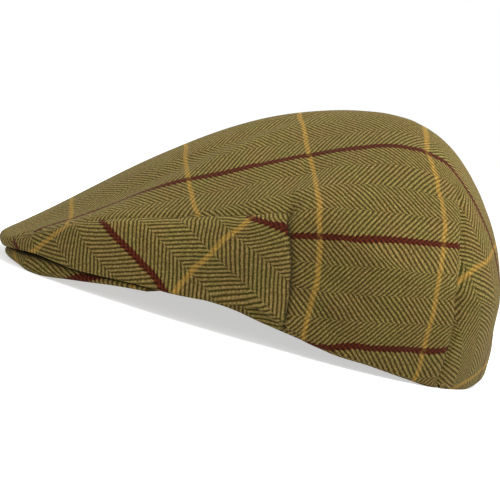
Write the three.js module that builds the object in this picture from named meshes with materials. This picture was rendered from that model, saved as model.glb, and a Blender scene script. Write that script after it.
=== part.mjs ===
// A flat cap of tweed, resting on its peak and its rear hem.
// Millimetres, +Z up, the peak towards -Y, the wearer's left towards +X.
// The origin is on the table, under the middle of the cap.
import * as THREE from "three";
import { mergeVertices } from "three/addons/utils/BufferGeometryUtils.js";

// Driving sizes of the crown
const crownWidth = 194;
const noseReach = 168;       // from the widest line forward to the nose
const backReach = 109;       // from the widest line back to the rear hem
const widestY = 31;          // where the crown is widest
const crownHeight = 125;     // the pole of the crown above the table
const peakOfCrownY = 50.6;   // where that pole is
const domeRadius = 110;      // roundness of the very top
const domeReach = 55;        // where the sections have taken over from it
const clothWall = 2.4;       // tweed with its fusing and turnings
const seamGap = 0.5;         // between two panels at a seam

// Seams, as angles about the crown's middle: 0 is the nose, 180 the back
const noseCornerAngle = 30;
const earSeamAngle = 84.5;
const earSeamLeanTop = -3.3; // the ear seam leans forward at its top
const earSeamLeanFoot = 1.9;
const leanBreadth = 22;      // how far the lean spreads to both sides

// Driving sizes of the head opening and the peak
const openingLength = 200;
const openingWidth = 166;
const openingY = 34.6;
const openingFrontHeight = 15;
const peakThickness = 4.5;
const peakArmAngle = 60;
const peakSeatGap = 0.4;     // between the peak and the cloth turned under on it

// Mesh fineness
const noseSteps = 6;
const wedgeSteps = 12;
const rearSteps = 18;
const topRings = 13;
const topCrowding = 1.35;    // crowds the top's rings towards the seam level
const wallRings = 7;
const turnRings = 4;
const peakSteps = 40;
const peakRings = 6;
const peakEdgeSteps = 4;

// Sections of the cloth, a row for each angle. Reaches are shares of the plan outline and
// heights are shares of the crown's height. seam is the upper edge of the side wall, fold its
// lower edge, tuck the crease where the cloth turns under, hem its free edge. ridge is how
// soon the top falls away from its highest point, and shoulder how full it is over the wall.
const sectionColumns = [
  "angle", "seamReach", "seamHeight", "belly", "foldReach", "foldHeight",
  "tuckReach", "tuckHeight", "hemReach", "hemHeight", "ridge", "shoulder",
];
const sections = [
  [0, 0.985, 0.100, 0.012, 0.985, 0.042, 0.945, 0.046, 0.900, 0.060, 1.15, 0.90],
  [16, 1.010, 0.106, 0.012, 1.008, 0.044, 0.970, 0.049, 0.920, 0.064, 1.18, 0.88],
  [30, 1.050, 0.124, 0.012, 1.050, 0.064, 1.010, 0.067, 0.950, 0.072, 1.25, 0.87],
  [38, 1.055, 0.182, 0.012, 1.050, 0.078, 1.010, 0.083, 0.950, 0.088, 1.33, 0.86],
  [47, 1.035, 0.268, 0.018, 1.035, 0.074, 1.000, 0.085, 0.940, 0.094, 1.33, 0.92],
  [57, 1.000, 0.347, 0.025, 1.000, 0.090, 0.965, 0.104, 0.910, 0.104, 1.33, 0.94],
  [67, 0.965, 0.419, 0.030, 0.970, 0.114, 0.935, 0.132, 0.900, 0.106, 1.28, 0.99],
  [76, 0.950, 0.477, 0.032, 0.962, 0.136, 0.925, 0.156, 0.890, 0.104, 1.21, 1.11],
  [82, 0.952, 0.536, 0.030, 0.960, 0.150, 0.920, 0.164, 0.890, 0.084, 1.20, 1.18],
  [86, 0.962, 0.560, 0.026, 0.935, 0.116, 0.915, 0.104, 0.890, 0.074, 1.17, 1.25],
  [97, 0.990, 0.528, 0.022, 0.930, 0.064, 0.915, 0.052, 0.890, 0.050, 1.00, 1.50],
  [112, 1.018, 0.480, 0.020, 0.945, 0.044, 0.930, 0.034, 0.900, 0.034, 0.74, 1.50],
  [124, 1.040, 0.456, 0.020, 0.960, 0.026, 0.945, 0.014, 0.915, 0.013, 0.66, 1.50],
  [134, 1.075, 0.432, 0.020, 0.970, 0.012, 0.955, -0.004, 0.925, -0.004, 0.86, 1.40],
  [147, 1.025, 0.416, 0.022, 0.962, 0.012, 0.952, -0.004, 0.925, -0.004, 0.92, 1.30],
  [163, 0.915, 0.400, 0.022, 0.965, 0.036, 0.955, 0.024, 0.925, 0.024, 0.76, 1.42],
  [180, 0.880, 0.400, 0.020, 0.968, 0.060, 0.958, 0.048, 0.928, 0.046, 0.72, 1.50],
];

// The peak's outer edge, a row for each angle. gape is how far it hangs open below the fold of
// the cloth. Gape and thickness are shares of the board's thickness.
const peakColumns = ["angle", "edgeReach", "gape", "thickness"];
const peakRows = [
  [0, 0.955, 0.00, 0.98],
  [18, 0.985, 0.02, 0.98],
  [30, 1.018, 0.45, 1.04],
  [37, 1.028, 0.87, 1.24],
  [47, 1.000, 0.16, 0.95],
  [54, 0.972, 0.02, 0.62],
  [60, 0.945, 0.10, 0.45],
];

// Soft dents and swells in the cloth. angle and level place the middle (level 0 is the top of
// the crown, 1 the seam level, 2 the fold), and slant turns it from level to upright. length and
// breadth are its half sizes, as shares of the crown's height. depth is how far it sinks, as a
// share of the cloth's wall, and a swell has a negative depth.
const dentColumns = ["angle", "level", "length", "breadth", "slant", "depth"];
const dents = [
  [80, 0.80, 0.208, 0.064, 62, 0.92],
  [66, 0.74, 0.240, 0.072, 20, 0.50],
  [72, 1.70, 0.176, 0.072, 8, 0.42],
  [60, 1.45, 0.208, 0.080, -20, -0.33],
  [118, 0.62, 0.176, 0.096, 10, -0.50],
  [158, 0.66, 0.160, 0.112, 60, 0.58],
  [136, 1.80, 0.192, 0.064, 80, 0.33],
  [108, 0.32, 0.224, 0.160, 0, -1.45],
];
const rightDentShare = 0.6;  // the wearer's right is smoother

const tweed = new THREE.MeshStandardMaterial({ color: 0x8a7c4e, roughness: 0.95, metalness: 0 });
const sideTweed = new THREE.MeshStandardMaterial({ color: 0x7c7044, roughness: 0.95, metalness: 0 });
const peakTweed = new THREE.MeshStandardMaterial({ color: 0x75693f, roughness: 0.95, metalness: 0 });

// A smooth curve through one column of a table, level at both ends
function column(rows, names, name, angle) {
  const k = names.indexOf(name);
  const last = rows.length - 1;
  let i = 0;
  while (i < last - 1 && angle > rows[i + 1][0]) i += 1;
  const step = (n) => rows[n + 1][0] - rows[n][0];
  const rise = (n) => (rows[n + 1][k] - rows[n][k]) / step(n);
  const slope = (n) => {
    if (n === 0 || n === last) return 0;
    return (rise(n - 1) * step(n) + rise(n) * step(n - 1)) / (step(n - 1) + step(n));
  };
  const h = step(i);
  const u = (angle - rows[i][0]) / h;
  const curve = (2 * u ** 3 - 3 * u ** 2 + 1) * rows[i][k] + (3 * u ** 2 - 2 * u ** 3) * rows[i + 1][k];
  return curve + (u ** 3 - 2 * u ** 2 + u) * h * slope(i) + (u ** 3 - u ** 2) * h * slope(i + 1);
}

const mix = (a, b, share) => a + (b - a) * share;

// A place in plan, from an angle off the nose and a share of the outline
function inPlan(angle, reach) {
  const turn = THREE.MathUtils.degToRad(angle);
  const length = Math.cos(turn) > 0 ? noseReach : backReach;
  return [(crownWidth / 2) * reach * Math.sin(turn), widestY - length * reach * Math.cos(turn)];
}

function section(angle) {
  const row = {};
  for (const name of sectionColumns) row[name] = column(sections, sectionColumns, name, angle);
  return row;
}

// Level 0 to 1 runs down the top, 1 to 2 down the wall, 2 to 3 under to the hem
function leaned(angle, level) {
  const away = Math.min(1, Math.abs(angle - earSeamAngle) / leanBreadth);
  const share = Math.cos(away * Math.PI / 2) ** 2;
  const drop = THREE.MathUtils.clamp(level - 1, 0, 1);
  const onWall = mix(earSeamLeanFoot, earSeamLeanTop, (1 - drop) ** 2);
  return angle + share * onWall * Math.min(1, level) ** 2;
}

function smoothCloth(angle, level) {
  const row = section(leaned(angle, level));
  const at = (reach) => inPlan(leaned(angle, level), reach);
  if (level <= 1) {
    const [x, y] = at(row.seamReach);
    const fall = row.ridge * level ** 2 + (1 - row.ridge) * level ** 4;
    const rise = Math.max(0, 1 - fall) ** (1 / row.shoulder);
    const distance = Math.hypot(x, y - peakOfCrownY) * level;
    const dome = crownHeight - distance ** 2 / (2 * domeRadius);
    const slope = mix(row.seamHeight, 1, rise) * crownHeight;
    const z = mix(dome, slope, THREE.MathUtils.smoothstep(distance, 0, domeReach));
    return new THREE.Vector3(x * level, mix(peakOfCrownY, y, level), z);
  }
  let reach = mix(row.seamReach, row.foldReach, level - 1) + row.belly * 4 * (level - 1) * (2 - level);
  let height = mix(row.seamHeight, row.foldHeight, level - 1);
  if (level > 2) {
    const turned = Math.min(1, 2 * (level - 2));
    const hemmed = Math.max(0, 2 * (level - 2) - 1);
    reach = mix(mix(row.foldReach, row.tuckReach, turned), row.hemReach, hemmed);
    height = mix(mix(row.foldHeight, row.tuckHeight, turned), row.hemHeight, hemmed);
  }
  const [x, y] = at(reach);
  return new THREE.Vector3(x, y, Math.max(0, height * crownHeight));
}

// How far the cloth sinks at a point, summed over the dents of both sides
function dentDepth(point) {
  let depth = 0;
  for (const dent of dents) {
    const value = (name) => dent[dentColumns.indexOf(name)];
    const slant = THREE.MathUtils.degToRad(value("slant"));
    for (const [side, strength] of [[1, 1], [-1, rightDentShare]]) {
      const middle = smoothCloth(value("angle"), value("level"));
      middle.x *= side;
      const apart = point.clone().sub(middle).divideScalar(crownHeight);
      const sideways = Math.hypot(apart.x, apart.y) * Math.sign(apart.y);
      const along = sideways * Math.cos(slant) + apart.z * Math.sin(slant);
      const across = apart.z * Math.cos(slant) - sideways * Math.sin(slant);
      const share = Math.exp(-((along / value("length")) ** 2) - (across / value("breadth")) ** 2);
      depth += value("depth") * clothWall * share * strength;
    }
  }
  return depth;
}

// The angles and levels of the mesh, finer where the cloth bends
function spread(from, to, count) {
  return Array.from({ length: count }, (_, n) => mix(from, to, n / count));
}
const halfAngles = [
  ...spread(0, noseCornerAngle, noseSteps),
  ...spread(noseCornerAngle, earSeamAngle, wedgeSteps),
  ...spread(earSeamAngle, 180, rearSteps),
];
const levels = [
  ...spread(0, 1, topRings).map((share) => 1 - (1 - share) ** topCrowding),
  ...spread(1, 2, wallRings),
  ...spread(2, 3, turnRings),
  3,
];
const seamRing = levels.indexOf(1);
const midWallRing = seamRing + Math.floor(wallRings / 2);
const around = [
  ...halfAngles.map((angle) => ({ angle, side: 1 })),
  { angle: 180, side: 1 },
  ...halfAngles.slice(1).reverse().map((angle) => ({ angle, side: -1 })),
];

// Outer and inner points of the whole cap, before it is parted at the seams
function clothPoints() {
  const outer = around.map(({ angle, side }) => levels.map((level) => {
    const point = smoothCloth(angle, level);
    point.x *= side;
    return point;
  }));
  const count = around.length;
  const normals = outer.map((line) => line.map(() => new THREE.Vector3()));
  for (let i = 0; i < count; i += 1) {
    for (let j = 0; j < levels.length - 1; j += 1) {
      const next = (i + 1) % count;
      const diagonal = outer[next][j + 1].clone().sub(outer[i][j]);
      const face = outer[i][j + 1].clone().sub(outer[next][j]).cross(diagonal);
      for (const [a, b] of [[i, j], [next, j], [i, j + 1], [next, j + 1]]) normals[a][b].add(face);
    }
  }
  for (let i = 0; i < count; i += 1) {
    for (let j = 0; j < levels.length; j += 1) {
      const normal = j === 0 ? new THREE.Vector3(0, 0, 1) : normals[i][j].normalize();
      if (levels[j] < 2) outer[i][j].addScaledVector(normal, -dentDepth(outer[i][j]));
      normals[i][j] = normal;
    }
  }
  // On the wall and below it the thickness is set in the upright plane of each section
  const sideways = around.map(({ angle, side }) => {
    const [x, y] = inPlan(leaned(angle, 2), 1);
    return new THREE.Vector3(widestY - y, x * side, 0).normalize();
  });
  const inner = outer.map((line, i) => line.map((place, j) => {
    const inward = normals[i][j].clone();
    if (levels[j] >= 1) inward.addScaledVector(sideways[i], -inward.dot(sideways[i])).normalize();
    return place.clone().addScaledVector(inward, -clothWall);
  }));
  return { outer, inner, sideways };
}

// A closed solid from the cells of the cap that belong to one panel
function panelGeometry(points, belongs) {
  const count = around.length;
  const ringCount = levels.length;
  const inPanel = (i, j) => j >= 0 && j < ringCount - 1 && belongs((i + count) % count, j);
  const corners = [];
  const faces = [];
  const seen = new Map();
  // A corner on a seam is drawn back from it by half the gap, across the seam's own direction
  const corner = (side, i, j) => {
    const line = (i + count) % count;
    const key = `${side}:${j === 0 ? 0 : line}:${j}`;
    if (seen.has(key)) return seen.get(key);
    const place = points[side][line][j].clone();
    const quarters = [[0, 0, 1, 1], [-1, 0, -1, 1], [-1, -1, -1, -1], [0, -1, 1, -1]];
    const cells = quarters.filter(([, b]) => j + b >= 0 && j + b < ringCount - 1);
    const own = cells.filter(([a, b]) => inPanel(i + a, j + b));
    if (j > 0 && own.length < cells.length) {
      const limit = (k) => Math.sign(own.reduce((sum, quarter) => sum + quarter[k], 0));
      const { outer, sideways } = points;
      const below = outer[line][Math.min(j + 1, ringCount - 1)];
      const down = below.clone().sub(outer[line][j - 1]).normalize();
      place.addScaledVector(sideways[line], limit(2) * seamGap / 2);
      place.addScaledVector(down, limit(3) * seamGap / 2);
    }
    corners.push(place);
    seen.set(key, corners.length - 1);
    return corners.length - 1;
  };
  const quad = (a, b, c, d, mirrored) => {
    for (const face of mirrored ? [[a, b, d], [b, c, d]] : [[a, b, c], [a, c, d]]) {
      if (new Set(face).size === 3) faces.push(...face);
    }
  };
  for (let i = 0; i < count; i += 1) {
    for (let j = 0; j < ringCount - 1; j += 1) {
      if (!inPanel(i, j)) continue;
      const out = (a, b) => corner("outer", a, b);
      const inn = (a, b) => corner("inner", a, b);
      const mirrored = around[i].side < 0 || around[i].angle === 180;
      quad(out(i, j), out(i, j + 1), out(i + 1, j + 1), out(i + 1, j), mirrored);
      quad(inn(i, j), inn(i + 1, j), inn(i + 1, j + 1), inn(i, j + 1), mirrored);
      if (!inPanel(i - 1, j)) quad(out(i, j), inn(i, j), inn(i, j + 1), out(i, j + 1));
      if (!inPanel(i + 1, j)) quad(out(i + 1, j + 1), inn(i + 1, j + 1), inn(i + 1, j), out(i + 1, j));
      if (j > 0 && !inPanel(i, j - 1)) quad(out(i + 1, j), inn(i + 1, j), inn(i, j), out(i, j));
      if (!inPanel(i, j + 1)) quad(out(i, j + 1), inn(i, j + 1), inn(i + 1, j + 1), out(i + 1, j + 1));
    }
  }
  return solidFrom(corners, faces);
}

function solidFrom(corners, faces) {
  const geometry = new THREE.BufferGeometry();
  const flat = corners.flatMap((p) => [p.x, p.y, p.z]);
  geometry.setAttribute("position", new THREE.Float32BufferAttribute(flat, 3));
  geometry.setIndex(faces);
  const merged = mergeVertices(geometry, 1e-4);
  merged.computeVertexNormals();
  return merged;
}

// Reach of the head opening's edge at an angle, where the ray from the widest line meets its oval
function openingReach(angle) {
  const [x, y] = inPlan(angle, 1);
  const across = x / (openingWidth / 2);
  const along = (y - widestY) / (openingLength / 2);
  const offset = (widestY - openingY) / (openingLength / 2);
  const a = across ** 2 + along ** 2;
  const b = 2 * along * offset;
  const c = offset ** 2 - 1;
  return (-b + Math.sqrt(b * b - 4 * a * c)) / (2 * a);
}

// The peak is a crescent board: rings of points round its section, from arm to arm
function peakGeometry() {
  const corners = [];
  const faces = [];
  const ringSize = 2 * peakRings + peakEdgeSteps + 1;
  for (let step = 0; step <= peakSteps; step += 1) {
    const turn = mix(-peakArmAngle, peakArmAngle, step / peakSteps);
    const angle = Math.abs(turn);
    const value = (name) => column(peakRows, peakColumns, name, angle);
    const thick = value("thickness") * peakThickness;
    const inner = openingReach(angle);
    const edge = value("edgeReach");
    const put = (reach, height) => {
      const [x, y] = inPlan(angle, reach);
      corners.push(new THREE.Vector3(x * Math.sign(turn), y, Math.max(0, height)));
    };
    const foldHeight = section(angle).foldHeight * crownHeight;
    const edgeTop = foldHeight - peakSeatGap - value("gape") * peakThickness;
    const boardTop = (share) => mix(openingFrontHeight, edgeTop, share);
    for (let n = 0; n <= peakRings; n += 1) {
      put(mix(inner, edge, n / peakRings), boardTop(n / peakRings) - thick);
    }
    const roundReach = thick / 2 / noseReach;
    for (let n = 1; n < peakEdgeSteps; n += 1) {
      const bend = Math.PI * n / peakEdgeSteps;
      put(edge + roundReach * Math.sin(bend), boardTop(1) - thick * (1 + Math.cos(bend)) / 2);
    }
    for (let n = peakRings; n >= 0; n -= 1) put(mix(inner, edge, n / peakRings), boardTop(n / peakRings));
  }
  for (let step = 0; step < peakSteps; step += 1) {
    for (let n = 0; n < ringSize; n += 1) {
      const m = (n + 1) % ringSize;
      const a = step * ringSize;
      const b = a + ringSize;
      faces.push(a + n, b + n, b + m, a + n, b + m, a + m);
    }
  }
  const armEnd = peakSteps * ringSize;
  for (let n = 1; n < ringSize - 1; n += 1) {
    faces.push(0, n, n + 1);
    faces.push(armEnd, armEnd + n + 1, armEnd + n);
  }
  return solidFrom(corners, faces);
}

const points = clothPoints();
const wedgeFrom = noseSteps;
const wedgeTo = noseSteps + wedgeSteps;
const inLeftWedge = (i, j) => j >= seamRing && i >= wedgeFrom && i < wedgeTo;
const inRightWedge = (i, j) => {
  const mirrored = around.length - 1 - i;
  return inLeftWedge(mirrored, j);
};

const cap = new THREE.Group();
const addPiece = (name, geometry, material) => {
  const mesh = new THREE.Mesh(geometry, material);
  mesh.name = name;
  cap.add(mesh);
};
addPiece("crown_panel", panelGeometry(points, (i, j) => !inLeftWedge(i, j) && !inRightWedge(i, j)), tweed);
addPiece("side_panel_left", panelGeometry(points, inLeftWedge), sideTweed);
addPiece("side_panel_right", panelGeometry(points, inRightWedge), sideTweed);
addPiece("peak", peakGeometry(), peakTweed);

export default cap;
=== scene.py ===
import math

import bmesh
import bpy
import numpy as np
from mathutils import Matrix, Vector


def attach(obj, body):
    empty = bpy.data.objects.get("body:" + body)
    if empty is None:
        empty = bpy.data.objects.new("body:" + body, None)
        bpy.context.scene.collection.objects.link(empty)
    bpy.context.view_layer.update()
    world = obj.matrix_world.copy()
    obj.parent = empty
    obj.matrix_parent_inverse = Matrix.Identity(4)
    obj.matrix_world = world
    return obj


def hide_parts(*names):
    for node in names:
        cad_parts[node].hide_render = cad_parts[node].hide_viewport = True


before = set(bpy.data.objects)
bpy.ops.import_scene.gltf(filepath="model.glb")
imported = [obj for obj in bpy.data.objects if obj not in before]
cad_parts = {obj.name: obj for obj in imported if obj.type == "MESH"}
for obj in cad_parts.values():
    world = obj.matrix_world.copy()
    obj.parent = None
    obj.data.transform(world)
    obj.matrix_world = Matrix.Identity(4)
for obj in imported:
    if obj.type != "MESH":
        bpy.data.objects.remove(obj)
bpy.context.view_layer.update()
mm = 0.001
tiny = 1e-6      # closer than this counts as the same place
print("frame loaded:", sorted(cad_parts))


# The cap's form, in millimetres: the same sizes and sections as its solids
capForm = {
    "crownWidth": 194.0,
    "noseReach": 168.0,
    "backReach": 109.0,
    "widestY": 31.0,
    "crownHeight": 125.0,
    "peakOfCrownY": 50.6,
    "domeRadius": 110.0,
    "domeReach": 55.0,
    "noseCorner": 30.0,      # angles off the nose, in degrees
    "earSeam": 84.5,
    "earLeanTop": -3.3,
    "earLeanFoot": 1.9,
    "leanBreadth": 22.0,
    "dart": 129.0,
    "dartTop": 0.745,        # level where the dart ends on the crown
    "dartBreadth": 20.0,     # degrees of cloth beside the dart that follow its line
    "dartFade": (0.3, 0.75),
    "clothWall": 2.4,        # the solids' cloth, which the dents' depths follow
    "cloth": 2.2,            # thickness of the shown cloth
    "lip": 1.3,              # how far the wedge's lower rear edge stands out over the hem
    "tuckDepth": 1.6,        # how far the cloth turns in under it
}
sectionNames = ("angle", "seamReach", "seamHeight", "belly", "foldReach", "foldHeight",
                "tuckReach", "tuckHeight", "hemReach", "hemHeight", "ridge", "shoulder")
sectionRows = np.array([
    (0, 0.985, 0.100, 0.012, 0.985, 0.042, 0.945, 0.046, 0.900, 0.060, 1.15, 0.90),
    (16, 1.010, 0.106, 0.012, 1.008, 0.044, 0.970, 0.049, 0.920, 0.064, 1.18, 0.88),
    (30, 1.050, 0.124, 0.012, 1.050, 0.064, 1.010, 0.067, 0.950, 0.072, 1.25, 0.87),
    (38, 1.055, 0.182, 0.012, 1.050, 0.078, 1.010, 0.083, 0.950, 0.088, 1.33, 0.86),
    (47, 1.035, 0.268, 0.018, 1.035, 0.074, 1.000, 0.085, 0.940, 0.094, 1.33, 0.92),
    (57, 1.000, 0.347, 0.025, 1.000, 0.090, 0.965, 0.104, 0.910, 0.104, 1.33, 0.94),
    (67, 0.965, 0.419, 0.030, 0.970, 0.114, 0.935, 0.132, 0.900, 0.106, 1.28, 0.99),
    (76, 0.950, 0.477, 0.032, 0.962, 0.136, 0.925, 0.156, 0.890, 0.104, 1.21, 1.11),
    (82, 0.952, 0.536, 0.030, 0.960, 0.150, 0.920, 0.164, 0.890, 0.084, 1.20, 1.18),
    (86, 0.962, 0.560, 0.026, 0.935, 0.116, 0.915, 0.104, 0.890, 0.074, 1.17, 1.25),
    (97, 0.990, 0.528, 0.022, 0.930, 0.064, 0.915, 0.052, 0.890, 0.050, 1.00, 1.50),
    (112, 1.018, 0.480, 0.020, 0.945, 0.044, 0.930, 0.034, 0.900, 0.034, 0.74, 1.50),
    (124, 1.040, 0.456, 0.020, 0.960, 0.026, 0.945, 0.014, 0.915, 0.013, 0.66, 1.50),
    (134, 1.075, 0.432, 0.020, 0.970, 0.012, 0.955, -0.004, 0.925, -0.004, 0.86, 1.40),
    (147, 1.025, 0.416, 0.022, 0.962, 0.012, 0.952, -0.004, 0.925, -0.004, 0.92, 1.30),
    (163, 0.915, 0.400, 0.022, 0.965, 0.036, 0.955, 0.024, 0.925, 0.024, 0.76, 1.42),
    (180, 0.880, 0.400, 0.020, 0.968, 0.060, 0.958, 0.048, 0.928, 0.046, 0.72, 1.50),
])

# Dents and swells: angle, level, half length, half breadth, slant, depth. The half sizes are
# shares of the crown's height and the depth is a share of the cloth's wall.
dentRows = (
    (80, 0.80, 0.208, 0.064, 62, 0.92),
    (66, 0.74, 0.240, 0.072, 20, 0.50),
    (72, 1.70, 0.176, 0.072, 8, 0.42),
    (60, 1.45, 0.208, 0.080, -20, -0.33),
    (118, 0.62, 0.176, 0.096, 10, -0.50),
    (158, 0.66, 0.160, 0.112, 60, 0.58),
    (136, 1.80, 0.192, 0.064, 80, 0.33),
    (108, 0.32, 0.224, 0.160, 0, -1.45),
)
rightDentShare = 0.6

# Shallow creases of worn wool beside the seams, given in the same way
creaseRows = (
    (84, 0.97, 0.072, 0.036, 70, 0.80),
    (79, 1.25, 0.104, 0.030, 35, 0.50),
    (93, 1.78, 0.150, 0.030, -28, 0.70),
    (98, 1.48, 0.170, 0.036, -20, 0.42),
    (104, 1.12, 0.150, 0.040, -12, -0.35),
    (62, 1.62, 0.150, 0.036, -24, 0.50),
    (48, 1.35, 0.130, 0.036, -30, -0.35),
    (122, 1.72, 0.120, 0.030, 62, 0.45),
    (112, 0.50, 0.200, 0.044, 8, 0.45),
)

# The dart's line down the wall, as level and angle
dartPath = np.array([
    (0.745, 126.9), (0.84, 127.0), (0.90, 126.8), (0.99, 126.4), (1.06, 126.6), (1.17, 127.5),
    (1.39, 129.6), (1.64, 131.5), (1.87, 133.8), (2.25, 136.4), (3.0, 137.8),
])


def mix(a, b, share):
    return a + (b - a) * share


def smoothStep(x, low, high):
    share = np.clip((x - low) / (high - low), 0, 1)
    return share * share * (3 - 2 * share)


def steps(stops, counts):  # stops joined by even steps, with every stop met
    parts = [np.linspace(a, b, n + 1)[:-1] for a, b, n in zip(stops[:-1], stops[1:], counts)]
    return np.concatenate(parts + [[stops[-1]]])


def tableCurve(rows, column, angle):  # a smooth curve through one column, level at both ends
    angle = np.clip(np.asarray(angle, float), rows[0, 0], rows[-1, 0])
    gaps = np.diff(rows[:, 0])
    rises = np.diff(rows[:, column]) / gaps
    slopes = np.zeros(len(rows))
    slopes[1:-1] = (rises[:-1] * gaps[1:] + rises[1:] * gaps[:-1]) / (gaps[:-1] + gaps[1:])
    i = np.clip(np.searchsorted(rows[:, 0], angle, side="right") - 1, 0, len(gaps) - 1)
    u = (angle - rows[i, 0]) / gaps[i]
    ends = (2 * u**3 - 3 * u**2 + 1) * rows[i, column] + (3 * u**2 - 2 * u**3) * rows[i + 1, column]
    return ends + (u**3 - 2 * u**2 + u) * gaps[i] * slopes[i] + (u**3 - u**2) * gaps[i] * slopes[i + 1]


def section(name, angle):
    return tableCurve(sectionRows, sectionNames.index(name), angle)


def inPlan(angle, reach):
    turn = np.radians(angle)
    length = np.where(np.cos(turn) > 0, capForm["noseReach"], capForm["backReach"])
    across = capForm["crownWidth"] / 2 * reach * np.sin(turn)
    return across, capForm["widestY"] - length * reach * np.cos(turn)


def leaned(angle, level):  # the ear seam leans, and takes the cloth beside it along
    away = np.minimum(1, np.abs(angle - capForm["earSeam"]) / capForm["leanBreadth"])
    drop = np.clip(level - 1, 0, 1)
    onWall = mix(capForm["earLeanFoot"], capForm["earLeanTop"], (1 - drop) ** 2)
    return angle + np.cos(away * math.pi / 2) ** 2 * onWall * np.minimum(1, level) ** 2


def plainCloth(angle, level):  # level 0 to 1 is the top, 1 to 2 the wall, 2 to 3 turned under
    angle, level = np.broadcast_arrays(np.asarray(angle, float), np.asarray(level, float))
    turned = leaned(angle, level)
    seamReach, seamHeight = section("seamReach", turned), section("seamHeight", turned)
    height = capForm["crownHeight"]
    down = np.clip(level, 0, 1)
    x, y = inPlan(turned, seamReach)
    ridge = section("ridge", turned)
    fall = ridge * down**2 + (1 - ridge) * down**4
    rise = np.maximum(0, 1 - fall) ** (1 / section("shoulder", turned))
    distance = np.hypot(x, y - capForm["peakOfCrownY"]) * down
    dome = height - distance**2 / (2 * capForm["domeRadius"])
    slope = mix(seamHeight, 1, rise) * height
    z = mix(dome, slope, smoothStep(distance, 0, capForm["domeReach"]))
    top = np.stack([x * down, mix(capForm["peakOfCrownY"], y, down), z], -1)
    wall = np.clip(level - 1, 0, 1)
    turn = np.clip(2 * (level - 2), 0, 1)
    hem = np.clip(2 * (level - 2) - 1, 0, 1)
    reach = mix(seamReach, section("foldReach", turned), wall)
    reach = reach + section("belly", turned) * 4 * wall * (1 - wall)
    reach = mix(mix(reach, section("tuckReach", turned), turn), section("hemReach", turned), hem)
    z = mix(seamHeight, section("foldHeight", turned), wall)
    z = mix(mix(z, section("tuckHeight", turned), turn), section("hemHeight", turned), hem)
    x, y = inPlan(turned, reach)
    side = np.stack([x, y, np.maximum(0, z * height)], -1)
    return np.where((level <= 1)[..., None], top, side)


# Wool rounds its bends: a point is a weighted mean of the cloth a little above and below it
softBend = {"reach": 0.05, "moreAtTopSeam": 0.05, "topSeamBreadth": 0.25,
            "weights": ((-1, 0.15), (-0.5, 0.22), (0, 0.26), (0.5, 0.22), (1, 0.15))}


def softCloth(angle, level):
    total = 0
    atSeam = smoothStep(np.abs(np.asarray(level, float) - 1), softBend["topSeamBreadth"], 0)
    reach = softBend["reach"] + softBend["moreAtTopSeam"] * atSeam
    for step, weight in softBend["weights"]:
        near = np.clip(level + reach * step, 0, 3)
        total = total + weight * plainCloth(angle, near)
    return total


# Small steps to either side, from which slopes and lengths are worked out
nudge = {"angle": 0.2, "level": 0.01, "pole": 0.02, "halfAngle": 0.5}


def outwards(angle, level):
    across = softCloth(angle + nudge["angle"], level) - softCloth(angle - nudge["angle"], level)
    below = softCloth(angle, np.minimum(3, level + nudge["level"]))
    down = below - softCloth(angle, np.maximum(nudge["pole"], level - nudge["level"]))
    normal = np.cross(down, across)
    length = np.linalg.norm(normal, axis=-1, keepdims=True)
    up = np.array([0.0, 0.0, 1.0])
    return np.where(length > tiny, normal / np.maximum(length, tiny), up)


def perDegree(angle, level):  # millimetres of cloth to one degree
    after, before = angle + nudge["halfAngle"], angle - nudge["halfAngle"]
    return np.linalg.norm(softCloth(after, level) - softCloth(before, level), axis=-1)


def perWholeLevel(angle, level):  # millimetres of cloth to one level
    high, low = np.minimum(3, level + nudge["level"]), np.maximum(0, level - nudge["level"])
    return np.linalg.norm(softCloth(angle, high) - softCloth(angle, low), axis=-1) / (high - low)


def dentDepth(place):
    depth = 0
    for angle, level, length, breadth, slant, deep in dentRows + creaseRows:
        turn = math.radians(slant)
        for side, strength in ((1, 1), (-1, rightDentShare)):
            middle = plainCloth(angle, level) * np.array((side, 1, 1))
            apart = (place - middle) / capForm["crownHeight"]
            sideways = np.hypot(apart[..., 0], apart[..., 1]) * np.sign(apart[..., 1])
            along = sideways * math.cos(turn) + apart[..., 2] * math.sin(turn)
            across = apart[..., 2] * math.cos(turn) - sideways * math.sin(turn)
            share = np.exp(-((along / length) ** 2) - (across / breadth) ** 2)
            depth = depth + deep * share * strength
    return depth * capForm["clothWall"]


def ripples(x, seed):  # an uneven wave between -1 and 1
    return (np.sin(x + seed) + 0.7 * np.sin(1.73 * x + 2.1 * seed) + 0.5 * np.sin(2.9 * x - seed)) / 2.2


# Seams sink into the cloth and pucker it a little. Depths, half widths and reach are in
# millimetres, and a fade is a stretch of degrees or of levels.
seamLook = {
    "topDepth": 0.8, "topHalfWidth": 2.4, "topFadeIn": (-2, 3), "topFadeOut": (-0.2, 1.5),
    "earDepth": 1.0, "earHalfWidth": 2.4, "earFadeIn": (0.95, 1.02), "earFadeOut": (2.6, 3.0),
    "noseDepth": 0.6, "noseHalfWidth": 1.8, "noseFadeIn": (0.97, 1.02), "noseFadeOut": (1.9, 2.1),
    "dartDepth": 0.9, "dartHalfWidth": 2.6, "dartFadeIn": (-0.03, 0.06),
    "stitchDepth": 1.2, "stitchHalfWidth": 0.55,
    "topPucker": 0.21, "pucker": 0.35, "puckerReach": 9.0,
    "topWaves": 0.9, "earWaves": 22, "dartWaves": 24,
}


def groove(away, seam):  # how deep a seam sinks the cloth at some distance from it
    return seamLook[seam + "Depth"] * np.exp(-((away / seamLook[seam + "HalfWidth"]) ** 2))


def puckers(wave, seed, away):
    return ripples(wave, seed) * np.exp(-away / seamLook["puckerReach"])


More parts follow.
